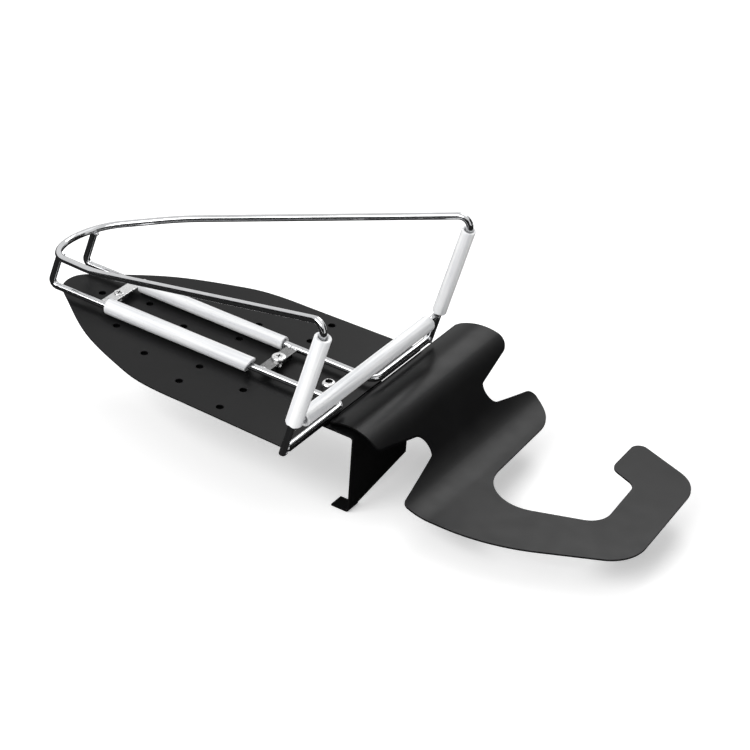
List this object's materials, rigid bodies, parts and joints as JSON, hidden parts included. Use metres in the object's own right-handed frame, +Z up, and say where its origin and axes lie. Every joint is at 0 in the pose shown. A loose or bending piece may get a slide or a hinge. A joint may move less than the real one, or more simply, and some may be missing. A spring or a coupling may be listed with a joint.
{
  "type": "ironing board iron rest",
  "caption": "Wire rest with loose silicone sleeves on a vented base plate, a hanger hook plate and a bracket that bolts it to an ironing board's end.",
  "frame": {"origin": "axis of the board bolt at the underside of the bracket's flange, on the board's top sheet", "axes": "+X off the board's end towards the hook, +Y to the side that the hook plate leans to, +Z up"},
  "size_m": [0.5542, 0.2687, 0.2084],
  "materials": {
    "black_sheet": "satin black powder coat over pressed steel sheet",
    "chrome_wire": "bright chrome plate on round steel wire",
    "satin_strap": "satin plated steel strip with bright edges",
    "zinc_fastener": "bright zinc plate, lightly worn",
    "silicone": "smooth milky silicone, slightly translucent, low gloss"
  },
  "bodies": {
    "rest": {"base_plate": "black_sheet", "edge_bracket": "black_sheet", "hook_plate": "black_sheet", "upper_loop": "chrome_wire", "lower_frame": "chrome_wire", "cross_bar": "chrome_wire", "front_strap": "satin_strap", "rear_strap": "satin_strap", "front_strap_screw": "zinc_fastener", "rear_strap_screw": "zinc_fastener", "front_strap_nut": "zinc_fastener", "rear_strap_nut": "zinc_fastener", "board_bolt": "zinc_fastener", "board_washer": "zinc_fastener", "board_nut": "zinc_fastener"},
    "near_rail_sleeve": {"near_rail_sleeve": "silicone"},
    "far_rail_sleeve": {"far_rail_sleeve": "silicone"},
    "near_upright_sleeve": {"near_upright_sleeve": "silicone"},
    "far_upright_sleeve": {"far_upright_sleeve": "silicone"},
    "cross_bar_sleeve": {"cross_bar_sleeve": "silicone"}
  },
  "joints": [
    {"name": "near_rail_sleeve_turn", "type": "hinge", "parent": "rest", "child": "near_rail_sleeve", "pos_m": [-0.13305, -0.0225, 0.0111], "axis": [1, 0, 0], "continuous": true},
    {"name": "far_rail_sleeve_turn", "type": "hinge", "parent": "rest", "child": "far_rail_sleeve", "pos_m": [-0.13305, 0.0225, 0.0102], "axis": [1, 0, 0], "continuous": true},
    {"name": "near_upright_sleeve_turn", "type": "hinge", "parent": "rest", "child": "near_upright_sleeve", "pos_m": [0.04493, -0.1043, 0.0702], "axis": [0.2461, 0.0114, 0.9692], "continuous": true},
    {"name": "far_upright_sleeve_turn", "type": "hinge", "parent": "rest", "child": "far_upright_sleeve", "pos_m": [0.04423, 0.1043, 0.0702], "axis": [0.2461, -0.0114, 0.9692], "continuous": true},
    {"name": "cross_bar_sleeve_turn", "type": "hinge", "parent": "rest", "child": "cross_bar_sleeve", "pos_m": [0.03535, 0, 0.0345], "axis": [0, 1, 0], "continuous": true}
  ]
}
